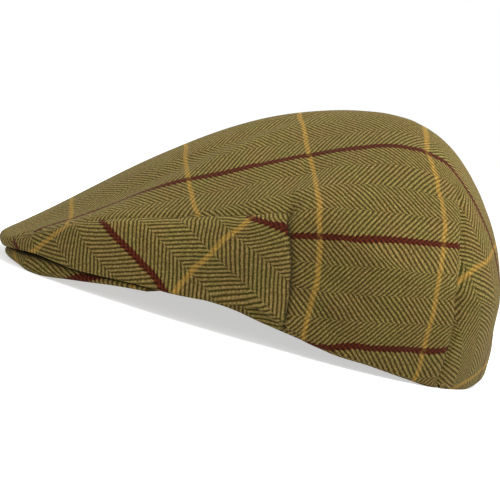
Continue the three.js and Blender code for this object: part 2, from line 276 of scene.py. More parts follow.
def seamDepth(nominal, level, perAngle, perLevel, side):
    look = seamLook
    corner, ear = capForm["noseCorner"], capForm["earSeam"]
    on = smoothStep(nominal - corner, *look["topFadeIn"])
    on = on * (1 - smoothStep(nominal - ear, *look["topFadeOut"]))
    away = np.abs(level - 1) * perLevel
    folds = look["topPucker"] * puckers(nominal * look["topWaves"], 1.0 + side, away)
    depth = on * (groove(away, "top") + folds)

    on = smoothStep(level, *look["earFadeIn"]) * (1 - smoothStep(level, *look["earFadeOut"]))
    away = np.abs(nominal - ear) * perAngle
    folds = look["pucker"] * puckers(level * look["earWaves"], 2.0 + side, away)
    depth = depth + on * (groove(away, "ear") + groove(away, "stitch") + folds)

    on = smoothStep(level, *look["noseFadeIn"]) * (1 - smoothStep(level, *look["noseFadeOut"]))
    depth = depth + on * groove(np.abs(nominal - corner) * perAngle, "nose")

    on = smoothStep(level - capForm["dartTop"], *look["dartFadeIn"])
    away = np.abs(nominal - capForm["dart"]) * perAngle
    folds = look["pucker"] * puckers(level * look["dartWaves"], 3.0 + side, away)
    return depth + on * (groove(away, "dart") + groove(away, "stitch") + folds)


def columnAngle(nominal, level):  # columns beside the dart follow its line
    away = np.minimum(1, np.abs(nominal - capForm["dart"]) / capForm["dartBreadth"])
    shift = np.interp(level, dartPath[:, 0], dartPath[:, 1]) - capForm["dart"]
    shift = shift * smoothStep(level, *capForm["dartFade"])
    return nominal + shift * np.cos(away * math.pi / 2) ** 2


# The wool's unevenness, as depths in millimetres and waves with a share of x, y and z and a
# seed, and the lip of the side wedge over the hem, with the tuck under it
wornLook = {
    "softDepth": 0.35, "softWaves": (((0.045, 0, 0.03), 1.3), ((0, 0.05, -0.035), 0.4)),
    "fineDepth": 0.18, "fineWaves": (((0.16, 0.07, 0), 2.2), ((0, -0.09, 0.15), 0.9)),
    "poleFade": (0.02, 0.2), "hemFade": (2.2, 1.9),
    "lipFadeIn": (58, 68), "lipFadeOut": (5, 0), "lipHalf": 0.11, "tuckLevel": 2.22, "tuckHalf": 0.09,
    "floorGap": 0.05,
}


def wornCloth(nominal, level, side):  # points of the outer cloth in millimetres
    look = wornLook
    angle = columnAngle(nominal, level)
    place = softCloth(angle, level)
    normal = outwards(angle, level)
    mirrored = place * np.array((side, 1, 1))
    sink = dentDepth(mirrored) * smoothStep(level, *look["hemFade"])
    sink = sink + seamDepth(nominal, level, perDegree(angle, level), perWholeLevel(angle, level), side)
    soft = sum(ripples(mirrored @ np.array(share), seed) for share, seed in look["softWaves"])
    fine = math.prod(ripples(mirrored @ np.array(share), seed) for share, seed in look["fineWaves"])
    unevenness = look["softDepth"] * soft + look["fineDepth"] * fine
    sink = sink + unevenness * smoothStep(level, *look["poleFade"])
    under = smoothStep(nominal, *look["lipFadeIn"])
    under = under * smoothStep(nominal - capForm["earSeam"], *look["lipFadeOut"])
    lip = capForm["lip"] * under * np.exp(-((level - 2) / look["lipHalf"]) ** 2)
    tuck = capForm["tuckDepth"] * under * np.exp(-((level - look["tuckLevel"]) / look["tuckHalf"]) ** 2)
    place = place - normal * (sink + tuck - lip)[..., None]
    place[..., 2] = np.maximum(place[..., 2] - lip, look["floorGap"])
    place[..., 0] *= side
    return place


# The camera stands level with the wearer's left side, a little above the floor, and leans
view = {"distance": 850.0, "above": 5.5, "lean": 15.7, "target": (0.0, -4.5, 35.5),
        "mmPerPixel": 0.545, "frame": 500, "sensor": 36.0, "clipStart": 0.05, "clipEnd": 50.0}


def viewAxes():  # the leaning camera's right, its up and the way towards it
    tilt, lean = math.radians(view["above"]), math.radians(view["lean"])
    towards = np.array([math.cos(tilt), 0, math.sin(tilt)])
    right = np.array([0.0, 1.0, 0.0])
    up = np.cross(towards, right)
    seenRight = right * math.cos(lean) + up * math.sin(lean)
    return seenRight, np.cross(towards, seenRight), towards


class SeenCloth:  # samples of the worn cloth, each with the pixel where the camera sees it
    angles, levels = (720,), (160, 100, 40)
    inside = (0.0, 20.0, 40.0)     # a place in the cap's hollow
    leastFacing = 0.02

    def __init__(self):
        samples = steps((0, 180), self.angles), steps((0, 1, 2, 3), self.levels)
        self.column, self.level = np.meshgrid(*samples, indexing="ij")
        places = wornCloth(self.column, self.level, 1)
        normal = np.cross(np.gradient(places, axis=1), np.gradient(places, axis=0))
        normal /= np.linalg.norm(normal, axis=-1, keepdims=True) + tiny**2
        inwards = np.sum(normal * (places - np.array(self.inside)), -1) < 0
        normal = np.where(inwards[..., None], -normal, normal)
        right, up, towards = viewAxes()
        apart = places - np.array(view["target"])
        toEye = towards * view["distance"] - apart
        facing = np.sum(normal * toEye, -1) / np.linalg.norm(toEye, axis=-1)
        self.shown = facing > self.leastFacing
        zoom = view["distance"] / view["mmPerPixel"] / (view["distance"] - apart @ towards)
        self.across = view["frame"] / 2 + apart @ right * zoom
        self.down = view["frame"] / 2 - apart @ up * zoom

    def spot(self, across, down, inPanel):  # column and level of the cloth seen at a pixel
        distance = np.hypot(self.across - across, self.down - down)
        distance = np.where(self.shown & inPanel(self.column, self.level), distance, np.inf)
        nearest = np.unravel_index(np.argmin(distance), distance.shape)
        return self.column[nearest], self.level[nearest]


# The weave's place on the cap. u runs across the warp and v along it, in millimetres of cloth.
# Red warp lines lie at every 60 of u and gold weft lines at every 66 of v. Each panel is laid
# flat on a coarse net, as rigid as possible, while the lines pull it to where they are seen.
weave = {
    "red": 60.0, "gold": 66.0,
    "unit": 100.0,         # millimetres of cloth to one step of the UV map
    "net": 4,              # fine steps of a panel to one cell of its net
    "pull": 3.0,           # how hard a line pulls the cloth to its place
    "centrePull": 4.0,     # the same for the red line that runs down the crown's middle
    "leastStiff": 0.02,
    "rounds": 60,
    "netTop": 0.02,        # level of the net's first row, just off the pole
    "vAtPole": 60.0,       # first guesses of where the weave lies
    "bias": 42.0,
    "deepest": 2.6,        # lowest level of a wedge where a line can be seen
}

# Where single lines are seen: line, pixel across, pixel down, strength of the pull
crownWarp = (
    (60, 43.0, 227.0, 1), (60, 111.6, 204.0, 1), (60, 159.5, 186.5, 1), (60, 223.0, 174.5, 1),
    (60, 270.0, 161.7, 1), (60, 310.0, 155.0, 1), (60, 350.0, 150.0, 1), (60, 400.0, 146.0, 1),
    (60, 419.0, 148.7, 1), (60, 436.5, 158.3, 1), (60, 456.0, 174.6, 1), (60, 473.0, 200.6, 0.5),
    (60, 481.7, 219.8, 0.5), (60, 491.0, 240.0, 0.5), (60, 497.0, 265.0, 0.3), (60, 496.4, 328.0, 0.3),
    (120, 289.0, 237.0, 1), (120, 330.0, 238.5, 1), (120, 375.0, 240.5, 1), (120, 420.0, 242.5, 1),
    (120, 459.0, 244.0, 1), (180, 302.0, 340.0, 1), (180, 350.0, 343.5, 1), (180, 400.0, 346.7, 1),
    (180, 448.0, 346.5, 1), (120, 456.0, 346.0, 0.2), (120, 459.0, 367.0, 0.2), (120, 461.0, 387.0, 0.2),
)
crownWeft = (
    (198, 72.0, 195.0, 1), (198, 72.0, 216.0, 1), (132, 188.0, 147.0, 1), (132, 190.0, 182.0, 1),
    (132, 194.0, 200.0, 1), (132, 200.0, 215.0, 1), (66, 298.0, 115.0, 1), (66, 305.0, 135.0, 1),
    (66, 313.0, 165.0, 1), (66, 320.0, 200.0, 1), (66, 323.0, 240.0, 1), (66, 320.0, 280.0, 1),
    (66, 310.0, 310.0, 1), (66, 303.0, 340.0, 1), (0, 403.0, 122.0, 0.3), (0, 424.0, 152.0, 1),
    (0, 440.0, 175.0, 1), (0, 448.0, 215.0, 1), (0, 440.0, 270.0, 1), (0, 435.0, 300.0, 1),
    (0, 428.0, 330.0, 1), (0, 420.0, 355.0, 1), (0, 412.0, 380.0, 1), (-66, 460.0, 284.5, 0.4),
    (-66, 476.0, 264.0, 0.4), (-66, 491.0, 241.0, 0.4),
)

# The side wedges are cut on the bias, so their lines run aslant
wedgeWarp = (
    (0, 101.0, 222.0, 1), (0, 111.6, 233.5, 1), (0, 132.4, 252.7, 1), (0, 153.0, 273.4, 1),
    (0, 174.0, 288.0, 0.5), (60, 249.0, 218.0, 1), (60, 265.0, 223.0, 1), (60, 289.0, 225.5, 1),
    (-60, 14.0, 242.0, 1), (-60, 17.5, 246.0, 1),
)
wedgeWeft = (
    (-66, 70.0, 223.0, 1), (-66, 61.0, 229.0, 1), (-66, 49.0, 239.0, 1), (-66, 35.0, 252.0, 1),
    (0, 249.0, 221.0, 1), (0, 225.0, 237.0, 1), (0, 210.0, 256.0, 1), (0, 194.0, 266.0, 1),
    (0, 178.0, 284.0, 1),
)


def onCrown(angle, level):  # the crown panel is everything but the side wedges
    beside = (angle > capForm["noseCorner"]) & (angle < capForm["earSeam"])
    return np.logical_not(beside & (level > 1))


def onWedge(angle, level):
    beside = (angle >= capForm["noseCorner"]) & (angle <= capForm["earSeam"])
    return beside & (level >= 1) & (level <= weave["deepest"])


class ClothNet:  # numbered corners over one panel, with the two sides of the dart parted
    def __init__(self, angles, levels, inPanel):
        self.angles, self.levels = angles, levels
        angle, level = np.meshgrid(angles, levels, indexing="ij")
        self.grid = softCloth(columnAngle(angle, level), level)
        self.numbers = {}
        cells = []
        for i in range(len(angles) - 1):
            for j in range(len(levels) - 1):
                if inPanel((angles[i] + angles[i + 1]) / 2, (levels[j] + levels[j + 1]) / 2):
                    cells.append([self.corner(i, j, i), self.corner(i + 1, j, i),
                                  self.corner(i + 1, j + 1, i), self.corner(i, j + 1, i)])
        cells = np.array(cells)
        self.triangles = np.concatenate([cells[:, [0, 1, 2]], cells[:, [0, 2, 3]]])
        self.places = np.array([self.grid[i, j] for i, j, behind in self.numbers])

    def corner(self, i, j, column):  # its number as met from a cell of that column
        onDart = abs(self.angles[i] - capForm["dart"]) < tiny and self.levels[j] > capForm["dartTop"]
        behind = onDart and self.angles[column] > capForm["dart"] - tiny
        return self.numbers.setdefault((i, j, behind), len(self.numbers))

    def around(self, column, level):  # the corners about a spot, each with its share
        i = min(max(np.searchsorted(self.angles, column, side="right") - 1, 0), len(self.angles) - 2)
        j = min(max(np.searchsorted(self.levels, level, side="right") - 1, 0), len(self.levels) - 2)
        s = (column - self.angles[i]) / (self.angles[i + 1] - self.angles[i])
        t = (level - self.levels[j]) / (self.levels[j + 1] - self.levels[j])
        row = np.zeros(len(self.numbers))
        for a, shareA in ((0, 1 - s), (1, s)):
            for b, shareB in ((0, 1 - t), (1, t)):
                row[self.corner(i + a, j + b, i)] += shareA * shareB
        return row


def layFlat(net, guess, pins):  # as rigid as possible, from a first guess
    triangles, count = net.triangles, len(net.places)
    a, b, c = (net.places[triangles[:, k]] for k in range(3))
    run = np.linalg.norm(b - a, axis=-1)
    along = (b - a) / run[:, None]
    side = np.cross(np.cross(b - a, c - a), along)
    side /= np.linalg.norm(side, axis=-1, keepdims=True)
    flat = np.zeros((len(triangles), 3, 2))
    flat[:, 1, 0] = run
    flat[:, 2, 0], flat[:, 2, 1] = np.sum((c - a) * along, -1), np.sum((c - a) * side, -1)
    edges, stiffness, joined = [], [], np.zeros((count, count))
    for k in range(3):
        start, end, far = triangles[:, k], triangles[:, (k + 1) % 3], flat[:, (k + 2) % 3]
        p, q = flat[:, k] - far, flat[:, (k + 1) % 3] - far
        stiff = np.sum(p * q, -1) / np.abs(p[:, 0] * q[:, 1] - p[:, 1] * q[:, 0])
        stiff = np.maximum(stiff, weave["leastStiff"]) / 2
        edges.append((start, end, flat[:, (k + 1) % 3] - flat[:, k]))
        stiffness.append(stiff)
        for row, column, sign in ((start, start, 1), (end, end, 1), (start, end, -1), (end, start, -1)):
            np.add.at(joined, (row, column), sign * stiff)
    solvers, pulls = [], []
    for rows in pins:
        full, pull = joined.copy(), np.zeros(count)
        for row, value, strength in rows:
            full += strength * np.outer(row, row)
            pull += strength * value * row
        solvers.append(np.linalg.inv(full))
        pulls.append(pull)
    spot = guess.copy()
    for attempt in range(weave["rounds"]):
        turn = np.zeros((len(triangles), 2))
        for (start, end, edge), stiff in zip(edges, stiffness):
            seen = spot[end] - spot[start]
            turn[:, 0] += stiff * np.sum(seen * edge, -1)
            turn[:, 1] += stiff * (seen[:, 1] * edge[:, 0] - seen[:, 0] * edge[:, 1])
        turn /= np.linalg.norm(turn, axis=-1, keepdims=True)
        sums = [pull.copy() for pull in pulls]
        for (start, end, edge), stiff in zip(edges, stiffness):
            turned = (turn[:, 0] * edge[:, 0] - turn[:, 1] * edge[:, 1],
                      turn[:, 1] * edge[:, 0] + turn[:, 0] * edge[:, 1])
            for total, value in zip(sums, turned):
                np.add.at(total, end, stiff * value)
                np.add.at(total, start, -stiff * value)
        spot = np.stack([solver @ total for solver, total in zip(solvers, sums)], -1)
    return spot


def netPins(net, seen, rows, inPanel):
    pins = []
    for line, across, down, strength in rows:
        column, level = seen.spot(across, down, inPanel)
        pins.append((net.around(column, level), line, weave["pull"] * strength))
    return pins


def finer(table, times):  # the net's corners joined by even steps
    for axis in (0, 1):
        count = table.shape[axis]
        at = np.arange((count - 1) * times + 1) / times
        low = np.minimum(at.astype(int), count - 2)
        share = (at - low).reshape((-1, 1, 1) if axis == 0 else (1, -1, 1))
        table = mix(np.take(table, low, axis), np.take(table, low + 1, axis), share)
    return table


def layCrown(angles, levels, seen):  # u and v at each column and row: beside the dart, and behind it
    coarse = weave["net"]
    rowsOfNet = levels[::coarse].copy()
    rowsOfNet[0] = weave["netTop"]
    net = ClothNet(angles[::coarse], rowsOfNet, onCrown)
    run = np.linalg.norm(np.diff(net.grid, axis=1, prepend=net.grid[:, :1]), axis=-1).cumsum(1)
    first = np.zeros((len(net.places), 2))
    for (i, j, behind), number in net.numbers.items():
        x, y, z = net.grid[i, j]
        own = math.atan2(x, capForm["peakOfCrownY"] - y)
        first[number] = run[i, j] * math.sin(own), run[i, j] * math.cos(own) + weave["vAtPole"]
    pins = [netPins(net, seen, rows, onCrown) for rows in (crownWarp, crownWeft)]
    last = len(net.angles) - 1
    for (i, j, behind), number in net.numbers.items():
        if i in (0, last):
            pins[0].append((np.eye(len(net.places))[number], 0.0, weave["centrePull"]))
    spot = layFlat(net, first, pins)
    charts = []
    for behind in (False, True):
        table = np.zeros((len(net.angles), len(net.levels), 2))
        for i in range(len(net.angles)):
            for j in range(len(net.levels)):
                number = net.numbers.get((i, j, behind), net.numbers.get((i, j, False)))
                if number is not None:
                    table[i, j] = spot[number]
        charts.append(finer(table, coarse))
    print("crown cloth laid flat")
    return charts


def layWedge(angles, levels, seen):
    coarse = weave["net"]
    net = ClothNet(angles[::coarse], levels[::coarse], lambda angle, level: True)
    bias = math.radians(weave["bias"])
    y, z = net.places[:, 1], net.places[:, 2]
    first = np.stack([y * math.sin(bias) + z * math.cos(bias), y * math.cos(bias) - z * math.sin(bias)], -1)
    pins = [netPins(net, seen, rows, onWedge) for rows in (wedgeWarp, wedgeWeft)]
    spot = layFlat(net, first, pins)
    table = np.array([[spot[net.numbers[(i, j, False)]] for j in range(len(net.levels))]
                      for i in range(len(net.angles))])
    print("side wedge laid flat")
    return finer(table, coarse)


def gridPiece(columns, rows):  # a flat grid whose vertices stand at whole column and row numbers
    shape = bmesh.new()
    bmesh.ops.create_grid(shape, x_segments=columns, y_segments=rows, size=0.5)
    for vertex in shape.verts:
        vertex.co = (round((vertex.co.x + 0.5) * columns), round((vertex.co.y + 0.5) * rows), 0)
    return shape


def setWeave(shape, spotOf):  # the UV map, from u and v at each corner of each face
    layer = shape.loops.layers.uv.new("weave")
    for face in shape.faces:
        for loop in face.loops:
            u, v = spotOf(face, loop)
            loop[layer].uv = u / weave["unit"], v / weave["unit"]


def finishPiece(name, shape, thickness, nodes, material):
    mesh = bpy.data.meshes.new(name)
    shape.to_mesh(mesh)
    shape.free()
    piece = bpy.data.objects.new(name, mesh)
    bpy.context.scene.collection.objects.link(piece)
    for face in mesh.polygons:
        face.use_smooth = True
    mesh.materials.append(material)
    if thickness:
        wall = piece.modifiers.new("cloth thickness", "SOLIDIFY")
        wall.thickness = thickness * mm
        wall.offset = -1
        wall.use_rim = True
    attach(piece, "root")
    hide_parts(*nodes)
    print(name, "made:", len(mesh.polygons), "faces")
    return piece


# The tweed: light twill lines on a dark ground in herringbone columns, with a window check.
# Lengths are in millimetres. A noise has its scale, detail and roughness, an edge has the two
# values between which it rises, and a shade also has what it rises from and to.
tweedLook = {
    "column": 15.0, "columnBreak": 0.5, "alongWarp": 2.8, "acrossWarp": 3.1, "yarnEdge": (-0.75, 0.55),
    "light": (0.159, 0.121, 0.034, 1), "lightWarm": (0.165, 0.113, 0.037, 1),
    "dark": (0.034, 0.022, 0.003, 1), "darkGreen": (0.030, 0.024, 0.004, 1),
    "fleck": (0.290, 0.230, 0.105, 1), "fleckCover": 0.55,
    "red": (0.054, 0.0045, 0.002, 1), "redDark": (0.018, 0.002, 0.001, 1),
    "redHalf": 1.85, "redEdge": 0.35, "redRag": 0.8, "redZigzag": 0.28, "redCover": 0.94,
    "redFibre": 2.0, "redMottle": (0.2, 1.7),
    "gold": (0.250, 0.148, 0.030, 1), "goldDark": (0.125, 0.072, 0.013, 1),
    "goldHalf": 1.2, "goldEdge": 0.6, "goldRag": 0.7, "goldCover": 0.80,
    "goldFibre": 1.6, "goldMottle": (-0.4, 1.4), "redOverGold": (-0.2, 0.2, 0.35, 1.0),
    "drift": (0.045, 2, 0.5), "driftReach": 2.4, "driftAcross": 0.5,
    "fibre": (0.95, 3, 0.7), "fibreShift": 0.55, "fibreShade": (0.30, 0.62, 0.50, 1.0),
    "fuzz": (0.42, 3, 0.6), "fuzzShare": 0.45, "patches": (0.06, 3, 0.55), "unevenEdge": (0.60, 0.86),
    "flecks": (0.75, 2, 0.6), "fleckEdge": (0.62, 0.74),
    "grain": (0.8, 4, 0.8), "grainShade": (0.30, 0.70, 0.58, 1.42),
    "broad": (0.012, 2, 0.5), "broadShade": (0.3, 0.7, 0.92, 1.08),
    "fibreHeight": 0.55, "yarnHeight": 0.6, "bump": 0.6, "bumpDepth": 0.0006,
    "roughness": 0.94, "specular": 0.06,
    "sheen": 0.06, "sheenRoughness": 0.5, "sheenTint": (0.80, 0.70, 0.38, 1),
}


class Graph:  # short words for making and joining shader nodes
    def __init__(self, name):
        self.material = bpy.data.materials.new(name)
        self.material.use_nodes = True
        self.tree = self.material.node_tree
        self.tree.nodes.clear()

    def put(self, socket, value):
        if isinstance(value, bpy.types.NodeSocket):
            self.tree.links.new(value, socket)
        else:
            socket.default_value = value

    def node(self, kind, settings=(), **inputs):
        made = self.tree.nodes.new(kind)
        for name, value in dict(settings).items():
            setattr(made, name, value)
        for name, value in inputs.items():
            self.put(made.inputs[name.replace("_", " ")], value)
        return made

    def maths(self, operation, *values):
        made = self.node("ShaderNodeMath", {"operation": operation})
        for socket, value in zip(made.inputs, values):
            self.put(socket, value)
        return made.outputs[0]

    def ramp(self, value, low, high, bottom=0.0, top=1.0):  # a soft step between two values
        made = self.node("ShaderNodeMapRange", {"interpolation_type": "SMOOTHSTEP"})
        for socket, given in zip(made.inputs, (value, low, high, bottom, top)):
            self.put(socket, given)
        return made.outputs[0]

    def blend(self, share, a, b):
        made = self.node("ShaderNodeMix", {"data_type": "RGBA"})
        for place, given in ((0, share), (6, a), (7, b)):  # the colour mix's own sockets
            self.put(made.inputs[place], given)
        return made.outputs[2]

    def noise(self, vector, scale, detail, roughness):
        return self.node("ShaderNodeTexNoise", Vector=vector, Scale=scale, Detail=detail,
                         Roughness=roughness).outputs["Fac"]

    def toLine(self, place, spacing):  # distance to the nearest of evenly spaced lines
        within = self.maths("FLOORED_MODULO", self.maths("ADD", place, spacing / 2), spacing)
        return self.maths("ABSOLUTE", self.maths("SUBTRACT", within, spacing / 2))

    def surface(self, shader):
        out = self.node("ShaderNodeOutputMaterial")
        self.tree.links.new(shader.outputs[0], out.inputs[0])


def clothPlace(graph):  # the place in the cloth, with u and v wandering a little as yarn does
    look, unit = tweedLook, weave["unit"]
    weaveMap = graph.node("ShaderNodeUVMap", {"uv_map": "weave"}).outputs[0]
    inCloth = graph.node("ShaderNodeMapping", Vector=weaveMap, Scale=(unit, unit, unit)).outputs[0]
    parts = graph.node("ShaderNodeSeparateXYZ", Vector=inCloth)
    drift = graph.noise(inCloth, *look["drift"])
    wander = graph.maths("MULTIPLY_ADD", drift, look["driftReach"], -look["driftReach"] / 2)
    u = graph.maths("MULTIPLY_ADD", wander, look["driftAcross"], parts.outputs[0])
    return inCloth, u, graph.maths("ADD", parts.outputs[1], wander)


def twillWave(graph, u, v, fibre):  # from -1 to 1 across the twill's lines, which turn each column
    look = tweedLook
    zigzag = graph.maths("PINGPONG", u, look["column"])
    pair = graph.maths("FLOORED_MODULO", graph.maths("DIVIDE", u, 2 * look["column"]), 1.0)
    second = graph.maths("GREATER_THAN", pair, 0.5)
    along = graph.maths("DIVIDE", v, look["alongWarp"])
    run = graph.maths("MULTIPLY_ADD", zigzag, 1 / look["acrossWarp"], along)
    run = graph.maths("MULTIPLY_ADD", second, look["columnBreak"], run)
    run = graph.maths("MULTIPLY_ADD", fibre, look["fibreShift"], run)
    return graph.maths("SINE", graph.maths("MULTIPLY", run, 2 * math.pi))


def groundCloth(graph, inCloth, fibre, yarn):
    look = tweedLook
    fuzz, patches = graph.noise(inCloth, *look["fuzz"]), graph.noise(inCloth, *look["patches"])
    uneven = graph.maths("MULTIPLY_ADD", fuzz, look["fuzzShare"], patches)
    uneven = graph.ramp(uneven, *look["unevenEdge"])
    light = graph.blend(uneven, look["lightWarm"], look["light"])
    dark = graph.blend(uneven, look["dark"], look["darkGreen"])
    shade = graph.maths("MULTIPLY", yarn, graph.ramp(fibre, *look["fibreShade"]))
    cloth = graph.blend(shade, dark, light)
    fleck = graph.ramp(graph.noise(inCloth, *look["flecks"]), *look["fleckEdge"])
    fleck = graph.maths("MULTIPLY", fleck, look["fleckCover"])
    return graph.blend(graph.maths("MULTIPLY", fleck, yarn), cloth, look["fleck"])


def checkLines(graph, cloth, u, v, fibre, wave):
    look = tweedLook
    jagged = graph.maths("MULTIPLY_ADD", wave, look["redZigzag"], graph.toLine(u, weave["red"]))
    jagged = graph.maths("SUBTRACT", jagged, look["redRag"] / 2)
    jagged = graph.maths("MULTIPLY_ADD", fibre, look["redRag"], jagged)
    inRed = graph.ramp(jagged, look["redHalf"] + look["redEdge"], look["redHalf"] - look["redEdge"])
    mottle = graph.ramp(graph.maths("MULTIPLY_ADD", fibre, look["redFibre"], wave), *look["redMottle"])
    red = graph.blend(mottle, look["redDark"], look["red"])

    frayed = graph.maths("SUBTRACT", graph.toLine(v, weave["gold"]), look["goldRag"] / 2)
    frayed = graph.maths("MULTIPLY_ADD", fibre, look["goldRag"], frayed)
    inGold = graph.ramp(frayed, look["goldHalf"] + look["goldEdge"], look["goldHalf"] - look["goldEdge"])
    mottle = graph.ramp(graph.maths("MULTIPLY_ADD", fibre, look["goldFibre"], wave), *look["goldMottle"])
    gold = graph.blend(mottle, look["goldDark"], look["gold"])

    covered = graph.maths("MULTIPLY", inRed, graph.ramp(wave, *look["redOverGold"]))
    over = graph.maths("MULTIPLY", inGold, graph.maths("SUBTRACT", 1.0, covered))
    cloth = graph.blend(graph.maths("MULTIPLY", inRed, look["redCover"]), cloth, red)
    return graph.blend(graph.maths("MULTIPLY", over, look["goldCover"]), cloth, gold)


def tweedMaterial(name):
    look = tweedLook
    graph = Graph(name)
    inCloth, u, v = clothPlace(graph)
    fibre = graph.noise(inCloth, *look["fibre"])
    wave = twillWave(graph, u, v, fibre)
    yarn = graph.ramp(wave, *look["yarnEdge"])
    cloth = checkLines(graph, groundCloth(graph, inCloth, fibre, yarn), u, v, fibre, wave)

    grain = graph.ramp(graph.noise(inCloth, *look["grain"]), *look["grainShade"])
    broad = graph.ramp(graph.noise(inCloth, *look["broad"]), *look["broadShade"])
    toned = graph.node("ShaderNodeVectorMath", {"operation": "SCALE"})
    graph.put(toned.inputs[0], cloth)
    graph.put(toned.inputs["Scale"], graph.maths("MULTIPLY", grain, broad))

    height = graph.maths("MULTIPLY", yarn, look["yarnHeight"])
    height = graph.maths("MULTIPLY_ADD", fibre, look["fibreHeight"], height)
    bump = graph.node("ShaderNodeBump", Strength=look["bump"], Distance=look["bumpDepth"], Height=height)
    shader = graph.node("ShaderNodeBsdfPrincipled", Base_Color=toned.outputs[0],
                        Roughness=look["roughness"], Normal=bump.outputs[0])
    shader.inputs["Specular IOR Level"].default_value = look["specular"]
    shader.inputs["Sheen Weight"].default_value = look["sheen"]
    shader.inputs["Sheen Roughness"].default_value = look["sheenRoughness"]
    shader.inputs["Sheen Tint"].default_value = look["sheenTint"]
    graph.surface(shader)
    return graph.material


crownTweed = tweedMaterial("crown tweed")
sideTweed = tweedMaterial("side tweed")
peakTweed = tweedMaterial("peak tweed")
print("materials made")


# Columns from the nose to its corner, the ear seam, the dart and the back, and rows on the top,
# on the wall and turned under. A crowding above 1 gathers rows towards the top's edge.
crownPiece = {"angles": (24, 56, 44, 52), "levels": (60, 36, 12), "crowding": 1.2}


def makeCrown(seen):
    half = steps((0, capForm["noseCorner"], capForm["earSeam"], capForm["dart"], 180), crownPiece["angles"])
    nominal = np.concatenate([-half[:0:-1], half])
    levels = steps((0, 1, 2, 3), crownPiece["levels"])
    levels = np.where(levels < 1, 1 - (1 - np.minimum(levels, 1)) ** crownPiece["crowding"], levels)
    columns, rows = len(nominal) - 1, len(levels) - 1
    angle, level = np.meshgrid(np.abs(nominal), levels, indexing="ij")
    side = np.where(nominal < 0, -1.0, 1.0)[:, None]
    places = np.where(side[..., None] > 0, wornCloth(angle, level, 1), wornCloth(angle, level, -1))
    places[:, 0] = places[:, 0].mean(0)
    maps = []
    for chart in layCrown(half, levels, seen):
        table = np.concatenate([chart[:0:-1], chart])
        table[..., 0] *= side
        table[:, 0] = 0, table[:, 0, 1].mean()
        maps.append(table)

    shape = gridPiece(columns, rows)
    column = shape.verts.layers.int.new("column")
    row = shape.verts.layers.int.new("row")
    for vertex in shape.verts:
        vertex[column], vertex[row] = int(vertex.co.x), int(vertex.co.y)
    behindDart, away = {}, []
    for face in shape.faces:
        centre = face.calc_center_median()
        angleThere = abs(np.interp(centre.x, np.arange(columns + 1), nominal))
        behindDart[face] = angleThere > capForm["dart"]
        if not onCrown(angleThere, np.interp(centre.y, np.arange(rows + 1), levels)):
            away.append(face)
    bmesh.ops.delete(shape, geom=away, context="FACES")
    setWeave(shape, lambda face, loop: maps[behindDart[face]][loop.vert[column], loop.vert[row]])
    for vertex in shape.verts:
        vertex.co = Vector(places[vertex[column], vertex[row]]) * mm
    bmesh.ops.remove_doubles(shape, verts=shape.verts, dist=tiny)
    bmesh.ops.recalc_face_normals(shape, faces=shape.faces)
    return finishPiece("crown_cloth", shape, capForm["cloth"], ["crown_panel"], crownTweed)


sidePiece = {"angles": 96, "levels": (44, 16)}  # columns, and rows on the wall and turned under


def makeSide(name, node, side, seen):
    angles = np.linspace(capForm["noseCorner"], capForm["earSeam"], sidePiece["angles"] + 1)
    levels = steps((1, 2, 3), sidePiece["levels"])
    angle, level = np.meshgrid(angles, levels, indexing="ij")
    places = wornCloth(angle, level, side)
    laid = layWedge(angles, levels, seen) * np.array((side, 1))
    shape = gridPiece(len(angles) - 1, len(levels) - 1)
    setWeave(shape, lambda face, loop: laid[int(loop.vert.co.x), int(loop.vert.co.y)])
    for vertex in shape.verts:
        vertex.co = Vector(places[int(vertex.co.x), int(vertex.co.y)]) * mm
    shape.normal_update()
    facing = sum((face.normal for face in shape.faces), Vector())
    if facing.x * side < 0:
        bmesh.ops.reverse_faces(shape, faces=shape.faces)
    return finishPiece(name, shape, capForm["cloth"], [node], sideTweed)


# The peak: a stiff crescent under the nose, covered in the same cloth
peakForm = {"openingLength": 200.0, "openingWidth": 166.0, "openingY": 34.6, "frontHeight": 15.0,
            "thickness": 4.5, "seatGap": 0.4, "floorGap": 0.02, "armAngle": 60.0,
            "steps": 150, "rings": 22, "edgeSteps": 10, "redAt": 14.0, "goldAt": -56.0}

# The peak's edge: angle, reach, gape under the nose, thickness. Its padded cloth fills the gape.
peakRows = np.array([
    (0, 0.955, 0.00, 0.98), (18, 0.985, 0.02, 0.98), (30, 1.018, 0.14, 1.35), (37, 1.028, 0.28, 1.83),
    (47, 1.000, 0.08, 1.03), (54, 0.972, 0.02, 0.62), (60, 0.945, 0.10, 0.45),
])


def openingReach(angle):  # reach of the head opening's oval edge
    x, y = inPlan(angle, 1)
    across = x / (peakForm["openingWidth"] / 2)
    along = (y - capForm["widestY"]) / (peakForm["openingLength"] / 2)
    offset = (capForm["widestY"] - peakForm["openingY"]) / (peakForm["openingLength"] / 2)
    a, b, c = across**2 + along**2, 2 * along * offset, offset**2 - 1
    return (-b + np.sqrt(b * b - 4 * a * c)) / (2 * a)


